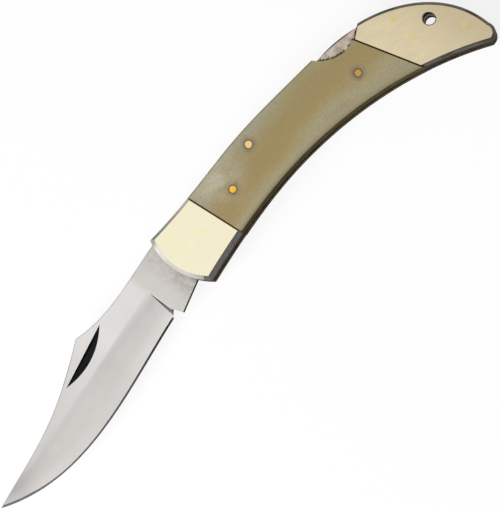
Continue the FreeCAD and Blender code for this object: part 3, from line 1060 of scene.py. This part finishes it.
@dataclass
class HandleCovers:
    """Bolsters and scales of both sides."""

    rim_round: float = 0.2 * MM
    scale_round: float = 0.33 * MM
    lanyard_round: float = 0.3 * MM
    lanyard: Vector = field(default_factory=lambda: Vector(mount("lanyard_hole")["pos_m"]))
    lanyard_radius: float = field(default_factory=lambda: mount("lanyard_hole")["dims"]["r_mm"] * MM)
    nearness: float = 0.05 * MM
    seam_reach: float = 0.6 * MM
    slot_facing: float = -0.35
    back_facing: float = 0.25
    butt_start: float = 90.0 * MM
    flat_facing: float = 0.95
    lip_facing: float = -0.3
    lip_start: float = 75.0 * MM
    lip_low: float = -3.6 * MM
    nose_facing: float = -0.4
    nose_end: float = -4.0 * MM
    upright: float = 0.3
    horn_facing: float = 0.5
    groove_facing: float = 0.3

    def at_lanyard(self, spot: Vector) -> bool:
        """Tells whether a point lies on the lanyard hole's wall."""
        reach = (spot - self.lanyard).to_2d().length
        return abs(reach - self.lanyard_radius) < self.nearness

    def on_rim(self, spot: Vector) -> bool:
        """Tells whether a point lies away from the seams and the lanyard hole."""
        at_seam = any(abs(seam.past(spot)) < self.seam_reach for seam in (FRONT_SEAM, REAR_SEAM))
        return not at_seam and not self.at_lanyard(spot)

    def faces_slot(self, face: bmesh.types.BMFace) -> bool:
        """Tells whether a face looks towards the slot side."""
        return face.normal.y < self.slot_facing

    def faces_back(self, face: bmesh.types.BMFace) -> bool:
        """Tells whether a face belongs to the rim along the back, round the butt or at the thumb notch.

        Args:
            face: The face.

        Returns:
            Whether it does.
        """
        at_butt = face.calc_center_median().x > self.butt_start
        outward = max(face.normal.y, face.normal.x if at_butt else 0.0)
        return self.at_lip(face) or (outward > self.back_facing and abs(face.normal.z) < self.flat_facing)

    def at_lip(self, face: bmesh.types.BMFace) -> bool:
        """Tells whether a face is the rear bolster's end at the thumb notch."""
        spot = face.calc_center_median()
        return face.normal.x < self.lip_facing and spot.x > self.lip_start and spot.y > self.lip_low

    def faces_nose(self, face: bmesh.types.BMFace) -> bool:
        """Tells whether a face is the bevel round the nose."""
        return face.normal.x < self.nose_facing and face.calc_center_median().x < self.nose_end

    def in_bore(self, face: bmesh.types.BMFace) -> bool:
        """Tells whether a face is the wall of the lanyard hole."""
        return abs(face.normal.z) < self.upright and self.at_lanyard(face.calc_center_median())

    def horn_side(self, face: bmesh.types.BMFace) -> bool:
        """Tells whether a face of the horn stands along the slot or lies in a seam's groove."""
        return face.normal.y < -self.horn_facing or abs(face.normal.x) > self.groove_facing

    def horn_back(self, face: bmesh.types.BMFace) -> bool:
        """Tells whether a face of the horn stands along the back."""
        return face.normal.y > self.horn_facing

    def is_wall(self, face: bmesh.types.BMFace) -> bool:
        """Tells whether a face of a bolster is its upright wall, apart from the thumb notch and the hole.

        Args:
            face: The face.

        Returns:
            Whether it is.
        """
        kept = self.at_lip(face) or self.at_lanyard(face.calc_center_median())
        outside = self.faces_slot(face) or self.faces_back(face) or self.faces_nose(face)
        return outside and not kept and abs(face.normal.z) < self.upright

    def bolster(self, node: str, finishes: Finishes) -> None:
        """Rounds and dresses one bolster.

        Args:
            node: The bolster's node.
            finishes: The finish of each zone that the bolster has, its top first.
        """
        copy = DressedNode(node)
        copy.join_flats()
        low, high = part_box(node)
        outer = high[2] if node.endswith(Side.LEFT.value) else low[2]
        mouth = copy.rims(
            SQUARE_DEG, lambda spot: self.at_lanyard(spot) and abs(spot.z - outer) < self.nearness
        )
        if mouth:
            copy.ease(mouth, self.lanyard_round)
        copy.ease(copy.rims(SLANTED_DEG, self.on_rim), self.rim_round)
        rules = {
            Zone.BACK: self.faces_back,
            Zone.NOSE: self.faces_nose,
            Zone.SLOT: self.faces_slot,
            Zone.WALL: self.is_wall,
            Zone.BORE: self.in_bore,
        }
        copy.mark(finishes, rules)
        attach(copy.place("nickel_silver", finishes), Body.HANDLE.value)

    def scale(self, node: str, finishes: Finishes) -> None:
        """Rounds and dresses one scale.

        Args:
            node: The scale's node.
            finishes: The finish of each zone, its top first.
        """
        copy = DressedNode(node)
        copy.join_flats()
        copy.ease(copy.rims(SLANTED_DEG, self.on_rim), self.scale_round)
        copy.mark(finishes, {Zone.SLOT: self.horn_side, Zone.BACK: self.horn_back})
        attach(copy.place("horn", finishes), Body.HANDLE.value)

    def front_finishes(self, top: bpy.types.Material) -> Finishes:
        """Makes the finishes of the front bolsters.

        Args:
            top: The finish of the bolsters' flat sides.

        Returns:
            The finish of each zone.
        """
        # Painted shade: the bevel along the slot side is a dark copy of the bolster metal.
        slot = RubbedMetal(
            "front_rim", colour=(0.20, 0.195, 0.187), streak=(0.14, 0.135, 0.13),
            rough=0.35, lines=RUBBED.turned(30.0),
        )
        # The rim along the back: painted shade towards the nose, painted lighter behind it.
        back = BrightWall(
            "front_back", colour=(0.27, 0.265, 0.24), streak=(0.20, 0.195, 0.175),
            rough=0.3, lines=AROUND, grazing=0.4,
            bright=(0.52, 0.51, 0.48), bright_streak=(0.38, 0.37, 0.35),
            line=PlanLine((-11.0 * MM, 0.0, 0.0), 0.0), brighten=Step(0.5 * MM, 15.0 * MM),
        )
        # The nose bevel: a painted highlight across its middle, painted shade at its back end and towards
        # the slot side.
        nose = BrightWall(
            "nose_bevel", colour=(0.44, 0.45, 0.41), streak=(0.38, 0.39, 0.355),
            rough=0.32, lines=RUBBED.turned(60.0), grazing=0.8,
            bright=(0.92, 0.905, 0.86), bright_streak=(0.86, 0.84, 0.79), dim=(0.5, 0.505, 0.47),
            line=PlanLine((0.0, 10.8 * MM, 0.0), -90.0), brighten=Step(0.0, 2.0 * MM),
        )
        # The upright wall: painted shade towards the slot side, painted lighter towards the back.
        wall = BrightWall(
            "front_wall", colour=(0.20, 0.195, 0.187), streak=(0.145, 0.14, 0.134),
            rough=0.35, lines=AROUND,
            bright=(0.62, 0.61, 0.58), bright_streak=(0.53, 0.52, 0.49),
            line=PlanLine((0.0, -5.0 * MM, 0.0), 90.0),
        )
        rest = {Zone.SLOT: slot, Zone.BACK: back, Zone.NOSE: nose, Zone.WALL: wall}
        return {Zone.TOP: top} | {zone: metal.material() for zone, metal in rest.items()}

    def rear_finishes(self, top: bpy.types.Material) -> Finishes:
        """Makes the finishes of the rear bolsters.

        Args:
            top: The finish of the bolsters' flat sides.

        Returns:
            The finish of each zone.
        """
        # Painted shade: the rims along the slot and the back are a dark copy of the bolster metal.
        rim = RubbedMetal(
            "rear_rim", colour=(0.18, 0.165, 0.135), streak=(0.05, 0.044, 0.034), rough=0.35, lines=AROUND
        ).material()
        # The upright wall: painted shade, painted lighter towards the butt as a reflection.
        wall = BrightWall(
            "rear_wall", colour=(0.15, 0.138, 0.113), streak=(0.10, 0.091, 0.074), rough=0.35, lines=AROUND
        )
        # Painted shade, near black, inside the lanyard hole.
        bore = RubbedMetal(
            "lanyard_bore", colour=(0.02, 0.018, 0.014), streak=(0.01, 0.009, 0.007),
            rough=0.5, grazing=0.02,
        )
        return {
            Zone.TOP: top,
            Zone.SLOT: rim,
            Zone.BACK: rim,
            Zone.WALL: wall.material(),
            Zone.BORE: bore.material(),
        }

    def build(self) -> None:
        """Builds the covers of both sides."""
        metal = BolsterMetal().material()
        front = self.front_finishes(metal)
        rear = self.rear_finishes(metal)
        # A dark copy of the horn along the slot side: painted shade of the side that faces away from the
        # light.
        slot = HornSide(
            "slot_horn_painted_shade", colour=(0.088, 0.07, 0.035), shade=(0.058, 0.043, 0.019), rough=0.6, gleam=0.0
        )
        back = HornSide("back_horn", colour=(0.30, 0.26, 0.155), shade=(0.21, 0.165, 0.08), rough=0.35)
        horn = {Zone.TOP: Horn().material(), Zone.SLOT: slot.material(), Zone.BACK: back.material()}
        for side in Side:
            self.bolster(f"front_bolster_{side.value}", front)
            self.bolster(f"rear_bolster_{side.value}", rear)
            self.scale(f"scale_{side.value}", horn)


@dataclass
class ScalePins:
    """Pins and rivets whose brass ends show in the horn."""

    end_round: float = 0.06 * MM
    rough: float = 0.28
    to_rim: Step = Step(0.85 * MM, 1.25 * MM)

    @staticmethod
    def nodes(side: Side) -> tuple[str, ...]:
        """Names the pins that show on one side, from the lock bar's pin to the rear rivet."""
        return ("lock_bar_pin", f"front_scale_rivet_{side.value}", f"rear_scale_rivet_{side.value}")

    def pin(self, node: str, colour: Colour, rim: Colour) -> None:
        """Rounds the ends of one pin and dresses it.

        Args:
            node: The pin's node.
            colour: Colour of the end.
            rim: Colour at the rim.
        """
        copy = DressedNode(node)
        copy.join_flats()
        copy.ease(copy.rims(SQUARE_DEG, lambda spot: True), self.end_round, segments=2)
        brass = PinBrass(node, colour, rim, self.rough, self.to_rim)
        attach(copy.place("scale_pin_brass", {Zone.TOP: brass.material()}), Body.HANDLE.value)

    def build(self) -> None:
        """Builds the pins of both sides."""
        self.pin("lock_bar_pin", colour=(0.86, 0.64, 0.29), rim=(0.70, 0.45, 0.14))
        for side in Side:
            front = f"front_scale_rivet_{side.value}"
            rear = f"rear_scale_rivet_{side.value}"
            self.pin(front, colour=(0.92, 0.55, 0.07), rim=(0.66, 0.34, 0.04))
            self.pin(rear, colour=(0.60, 0.335, 0.085), rim=(0.40, 0.20, 0.04))


@dataclass
class Blade:
    """Blade with its tang, grind and nail nick."""

    sharp_deg: float = 7.0
    plunge_facing: float = -0.25
    plunge_tilt: float = 0.2
    plunge_start: float = -28.0 * MM
    plunge_end: float = -25.5 * MM
    nick_low: float = 4.4 * MM
    nick_high: float = 10.6 * MM
    nick_start: float = -68.0 * MM
    nick_end: float = -42.0 * MM
    nick_depth: float = 1.2 * MM
    top: float = field(default_factory=lambda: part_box("blade")[1][2])
    top_gap: float = 0.01 * MM
    under_facing: float = -0.7
    ricasso_start: float = -26.5 * MM
    middle: float = field(default_factory=lambda: node_centre("blade").z)
    edge_half: float = 0.3 * MM
    edge_facing: float = -0.2
    edge_end: float = -27.5 * MM
    bare_end: float = -15.0 * MM
    spine_facing: float = 0.6
    spine_round: float = 0.2 * MM
    corner_low: float = 0.3
    corner_high: float = 0.95

    def is_bare(self, spot: Vector) -> bool:
        """Tells whether a point lies ahead of the handle."""
        return spot.x < self.bare_end

    def on_spine(self, edge: bmesh.types.BMEdge) -> bool:
        """Tells whether an edge runs along the spine or the clip."""
        return max(face.normal.y for face in edge.link_faces) > self.spine_facing

    def in_corner(self, face: bmesh.types.BMFace) -> bool:
        """Tells whether a face belongs to the eased corner of the spine."""
        sloping = self.corner_low < abs(face.normal.z) < self.corner_high
        return sloping and face.normal.y > self.corner_low and self.is_bare(face.calc_center_median())

    def in_plunge(self, face: bmesh.types.BMFace) -> bool:
        """Tells whether a face is the steep end of the grind."""
        within = self.plunge_start < face.calc_center_median().x < self.plunge_end
        return within and face.normal.x < self.plunge_facing and abs(face.normal.z) > self.plunge_tilt

    def in_nick(self, face: bmesh.types.BMFace) -> bool:
        """Tells whether a face lies in the nail nick.

        Args:
            face: The face.

        Returns:
            Whether it does.
        """
        spot = face.calc_center_median()
        inside = self.nick_start < spot.x < self.nick_end and self.nick_low < spot.y < self.nick_high
        deep = self.top - self.nick_depth < spot.z < self.top - self.top_gap
        return inside and deep and face.normal.y < self.spine_facing

    def under_ricasso(self, face: bmesh.types.BMFace) -> bool:
        """Tells whether a face is the underside of the ricasso."""
        return face.normal.y < self.under_facing and face.calc_center_median().x > self.ricasso_start

    def is_cut(self, face: bmesh.types.BMFace) -> bool:
        """Tells whether a face gets the painted shade of the nick and the ricasso's underside."""
        return self.in_nick(face) or self.under_ricasso(face)

    def on_edge(self, face: bmesh.types.BMFace) -> bool:
        """Tells whether a face is the sharpened bevel of the edge."""
        thin = all(abs(corner.co.z - self.middle) < self.edge_half for corner in face.verts)
        return thin and face.normal.y < self.edge_facing and face.calc_center_median().x < self.edge_end

    def finishes(self) -> Finishes:
        """Makes the blade's finishes.

        Returns:
            The finish of each zone.
        """
        # Painted shade, near black, in the nail nick and under the ricasso.
        cut = RubbedMetal(
            "painted_shade_cut_steel", colour=(0.024, 0.025, 0.028), streak=(0.012, 0.0125, 0.013),
            rough=0.3, lines=RUBBED.turned(8.0),
        )
        # The sharpened edge: painted shade, a little lighter towards the tip.
        edge = BrightWall(
            "sharpened_edge", colour=(0.09, 0.09, 0.095), streak=(0.055, 0.055, 0.06),
            rough=0.3, lines=RUBBED.turned(90.0),
            bright=(0.20, 0.20, 0.205), bright_streak=(0.13, 0.13, 0.135),
            line=PlanLine((-34.0 * MM, 0.0, 0.0), 180.0), brighten=Step(0.5 * MM, 18.0 * MM),
        )
        # The plunge: painted shade, lighter towards the edge.
        plunge = BrightWall(
            "plunge_steel", colour=(0.05, 0.053, 0.057), streak=(0.025, 0.026, 0.027),
            rough=0.3, lines=RUBBED.turned(8.0),
            bright=(0.36, 0.36, 0.36), bright_streak=(0.28, 0.28, 0.28),
            line=PlanLine((-26.0 * MM, 2.0 * MM, 0.0), -90.0), brighten=Step(0.5 * MM, 9.0 * MM),
        )
        # The eased spine corner: a darker copy of the blade steel, as painted shade.
        corner = RubbedMetal(
            "spine_corner", colour=(0.46, 0.46, 0.47), streak=(0.36, 0.36, 0.37), rough=0.3, grazing=0.5
        )
        kinds = {
            Zone.TOP: SatinSteel(),
            Zone.CUT: cut,
            Zone.EDGE: edge,
            Zone.PLUNGE: plunge,
            Zone.CORNER: corner,
        }
        return {zone: kind.material() for zone, kind in kinds.items()}

    def build(self) -> None:
        """Eases the spine's corners and dresses the blade."""
        copy = DressedNode("blade")
        spine = [edge for edge in copy.rims(SQUARE_DEG, self.is_bare) if self.on_spine(edge)]
        copy.ease(spine, self.spine_round, segments=2)
        finishes = self.finishes()
        rules = {
            Zone.CORNER: self.in_corner,
            Zone.EDGE: self.on_edge,
            Zone.PLUNGE: self.in_plunge,
            Zone.CUT: self.is_cut,
        }
        copy.mark(finishes, rules)
        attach(copy.place("blade_steel", finishes, self.sharp_deg, even=False), Body.BLADE.value)


@dataclass
class LockWork:
    """Liners, lock bar with its spring, butt spacer and the flush pins of the bolsters."""

    bar_round: float = 0.15 * MM
    bar_eased_end: float = 81.0 * MM
    bar_hole: float = 1.6 * MM
    bar_facing: float = 0.6
    underside: float = cad_box[0][2]
    upper_side: float = cad_box[1][2]
    pin_spread: float = 0.022 * MM
    spread_depth: float = 0.5 * MM
    pin_rough: float = 0.24
    pin_waver: float = 0.015
    pin_tone: float = 0.8 * MM
    pin_fade: float = 0.3 * MM
    spring_root_x: float = 83.5 * MM
    spring_tip_x: float = 61.5 * MM
    spring_y: float = -3.0 * MM

    def bar(self) -> None:
        """Rounds the lock bar's edges and dresses it."""
        copy = DressedNode("lock_bar")
        copy.join_flats()
        pin = node_centre("lock_bar_pin").to_2d()
        rims = copy.rims(
            SQUARE_DEG,
            lambda spot: spot.x < self.bar_eased_end and (spot.to_2d() - pin).length > self.bar_hole,
        )
        copy.ease(rims, self.bar_round, segments=2, limit=True)
        back = RubbedMetal(
            "bar_back_steel", colour=(0.64, 0.625, 0.60), streak=(0.50, 0.485, 0.465),
            rough=0.32, lines=RUBBED.turned(-14.0), grazing=0.6,
        )
        finishes = {Zone.TOP: LockSteel().material(), Zone.BACK: back.material()}
        copy.mark(finishes, {Zone.BACK: lambda face: face.normal.y > self.bar_facing})
        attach(copy.place("lock_steel", finishes), Body.LOCK_BAR.value)

    def spring(self) -> None:
        """Dresses the spring, whose arm runs from the handle to the lock bar."""
        copy = DressedNode("lock_spring")
        steel = PlainMetal(
            "spring_steel", bright_tone=(0.5, 0.49, 0.47), colour=(0.35, 0.34, 0.33), stain=(0.22, 0.21, 0.2),
            rough=0.4,
        )
        piece = copy.place("spring_steel", {Zone.TOP: steel.material()})
        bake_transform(piece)

    def flush_pin(self, node: str, colour: Colour, rim: Colour) -> None:
        """Spreads a pin's outer ends to fill their holes, as a hammer does, and dresses it.

        Args:
            node: The pin's node.
            colour: Colour of the end.
            rim: Colour at the rim, where it meets the bolster.
        """
        copy = DressedNode(node)
        about = Matrix.Translation(-node_centre(node))
        low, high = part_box(node)
        radius = (high.x - low.x) / 2
        wider = (radius + self.pin_spread) / radius
        for outer, depth in ((self.underside, self.spread_depth), (self.upper_side, -self.spread_depth)):
            whole = copy.shape.verts[:] + copy.shape.edges[:] + copy.shape.faces[:]
            bmesh.ops.bisect_plane(
                copy.shape, geom=whole, dist=copy.merge_gap,
                plane_co=Vector((0.0, 0.0, outer + depth)), plane_no=Vector((0.0, 0.0, 1.0)),
            )
            end = [corner for corner in copy.shape.verts if abs(corner.co.z - outer) < copy.merge_gap]
            bmesh.ops.scale(copy.shape, vec=(wider, wider, 1.0), space=about, verts=end)
        to_rim = Step(self.pin_tone, radius + self.pin_fade)
        brass = PinBrass(node, colour, rim, self.pin_rough, to_rim, self.pin_waver)
        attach(copy.place("bolster_pin_brass", {Zone.TOP: brass.material()}), Body.HANDLE.value)

    def flush_pins(self) -> None:
        """Dresses the pins that are ground flush with the bolsters."""
        front_rim = (0.88, 0.818, 0.59)
        rear_rim = (0.738, 0.63, 0.408)
        butt_rim = (0.635, 0.534, 0.338)
        self.flush_pin("blade_pivot_pin", colour=(0.885, 0.82, 0.52), rim=front_rim)
        for side in Side:
            self.flush_pin(f"bolster_rivet_{side.value}", colour=(0.895, 0.843, 0.564), rim=front_rim)
        self.flush_pin("upper_spring_pin", colour=(0.72, 0.583, 0.27), rim=rear_rim)
        self.flush_pin("lower_spring_pin", colour=(0.72, 0.595, 0.335), rim=rear_rim)
        self.flush_pin("butt_pin", colour=(0.678, 0.551, 0.28), rim=butt_rim)

    def build(self) -> None:
        """Builds the works between the covers."""
        # Brass of the liners and spacer, in painted shade towards the slot side.
        material = PlainMetal(
            "liner_brass", bright_tone=(0.62, 0.47, 0.2), colour=(0.20, 0.145, 0.07), stain=(0.07, 0.05, 0.025),
            rough=0.35,
        ).material()
        for node in ("liner_left", "liner_right", "butt_spacer"):
            dress(node, material)
        self.bar()
        self.spring()
        self.flush_pins()


@dataclass(frozen=True)
class Lobe:
    """Round patch of the studio's surroundings, with a step of brightness from its edge to its middle."""

    towards: Point
    step: Step


@dataclass(frozen=True)
class Studio:
    """Floor, light and camera of the picture."""

    camera_place_mm: Point = (36.0556, -151.9436, 952.4879)
    camera_target_mm: Point = (3.3011, -17.0808, 12.6)
    image_right: tuple[float, float] = (0.585, -0.811)
    focal_px: float = 2969.0
    frame_px: float = 510.0
    sensor_mm: float = 36.0
    nearest: float = 0.05
    farthest: float = 50.0
    floor_radius: float = 8.0
    floor_sides: int = 64
    floor_gap: float = 0.0001
    floor_colour: Colour = (0.95, 0.95, 0.95)
    floor_glow: float = 0.85
    base: float = 0.1
    lights: tuple[Lobe, ...] = (
        Lobe((-0.15, 0.16, 0.976), Step(0.87, 0.985, 0.0, 1.3)),
        Lobe((-0.97, 0.0, 0.24), Step(0.3, 0.8, 0.0, 0.9)),
        Lobe((-0.36, -0.50, 0.79), Step(0.93, 0.98, 0.0, 0.85)),
    )
    flags: tuple[Lobe, ...] = (
        Lobe((0.0, -0.94, 0.34), Step(0.6, 0.85, 1.0, 0.15)),
        Lobe((-0.1, 0.64, 0.76), Step(0.75, 0.95, 1.0, 0.1)),
    )
    horizon: Step = Step(0.03, 0.11, 0.8, 0.0)
    backdrop: Step = Step(0.8, 0.93, 0.75, 0.0)
    lamp_towards: Point = (-0.86, 0.05, 0.51)
    lamp_reach: float = 1.5
    lamp_size: float = 0.9
    lamp_watts: float = 28.0

    def camera(self) -> None:
        """Sets the camera at the photograph's viewing angle."""
        data = bpy.data.cameras.new("camera")
        data.sensor_width = self.sensor_mm
        data.lens = self.focal_px / self.frame_px * self.sensor_mm
        data.clip_start = self.nearest
        data.clip_end = self.farthest
        camera = put_in_scene("camera", data)
        place = Vector(self.camera_place_mm) * MM
        target = Vector(self.camera_target_mm) * MM
        back = (place - target).normalized()
        along = Vector((1.0, 0.0, 0.0))
        along = (along - back * along.dot(back)).normalized()
        across = back.cross(along)
        right = (along * self.image_right[0] + across * self.image_right[1]).normalized()
        up = back.cross(right)
        turn = Matrix((right, up, back)).transposed().to_4x4()
        camera.matrix_world = Matrix.Translation(place) @ turn
        bpy.context.scene.camera = camera

    def floor(self) -> None:
        """Lays a pale floor that stays white to the camera and keeps a soft shadow."""
        mesh = bpy.data.meshes.new("floor")
        shape = bmesh.new()
        bmesh.ops.create_circle(shape, cap_ends=True, segments=self.floor_sides, radius=self.floor_radius)
        bmesh.ops.translate(shape, verts=shape.verts, vec=(0.0, 0.0, -self.floor_gap))
        shape.to_mesh(mesh)
        shape.free()
        floor = put_in_scene("floor", mesh)
        material = bpy.data.materials.new("pale_floor")
        material.use_nodes = True
        nodes = NodeTree(material.node_tree)
        tree = nodes.tree
        output = tree.nodes.new("ShaderNodeOutputMaterial")
        matte = tree.nodes.new("ShaderNodeBsdfDiffuse")
        nodes.feed(matte.inputs["Color"], self.floor_colour)
        glow = tree.nodes.new("ShaderNodeEmission")
        mix = tree.nodes.new("ShaderNodeMixShader")
        nodes.feed(mix.inputs["Fac"], nodes.times(nodes.seen(), self.floor_glow))
        nodes.feed(mix.inputs[1], matte.outputs["BSDF"])
        nodes.feed(mix.inputs[2], glow.outputs["Emission"])
        nodes.feed(output.inputs["Surface"], mix.outputs["Shader"])
        mesh.materials.append(material)

    def surroundings(self) -> None:
        """Surrounds the knife with bright panels, dark cards and a pale horizon."""
        world = bpy.data.worlds.new("studio")
        world.use_nodes = True
        bpy.context.scene.world = world
        nodes = NodeTree(world.node_tree)
        tree = nodes.tree
        output = tree.nodes.new("ShaderNodeOutputWorld")
        sky = tree.nodes.new("ShaderNodeBackground")
        nodes.feed(output.inputs["Surface"], sky.outputs["Background"])
        towards = tree.nodes.new("ShaderNodeTexCoord").outputs["Generated"]
        level = self.base
        for flag in self.flags:
            level = nodes.times(nodes.remap(nodes.dot(towards, flag.towards), flag.step), level)
        for light in self.lights:
            level = nodes.plus(level, nodes.remap(nodes.dot(towards, light.towards), light.step))
        rise = nodes.dot(towards, (0.0, 0.0, 1.0))
        level = nodes.sum(Sum.MAXIMUM, level, nodes.remap(rise, self.horizon))
        backdrop = nodes.times(nodes.remap(rise, self.backdrop), nodes.seen())
        nodes.feed(sky.inputs["Strength"], nodes.sum(Sum.MAXIMUM, level, backdrop))

    def lamp(self) -> None:
        """Hangs one soft lamp beyond the tip, which metal doesn't mirror."""
        data = bpy.data.lights.new("soft_lamp", "AREA")
        data.shape = "DISK"
        data.size = self.lamp_size
        data.energy = self.lamp_watts
        lamp = put_in_scene("soft_lamp", data)
        lamp.visible_glossy = False
        towards = Vector(self.lamp_towards).normalized()
        turn = towards.to_track_quat("Z", "Y").to_matrix().to_4x4()
        lamp.matrix_world = Matrix.Translation(towards * self.lamp_reach) @ turn

    def build(self) -> None:
        """Sets up the whole studio."""
        bpy.context.scene.view_settings.view_transform = "Standard"
        self.camera()
        self.floor()
        self.surroundings()
        self.lamp()


def main() -> None:
    """Dresses the knife and sets up the picture."""
    Studio().build()
    LockWork().build()
    Blade().build()
    ScalePins().build()
    HandleCovers().build()


if __name__ == "__main__":
    main()
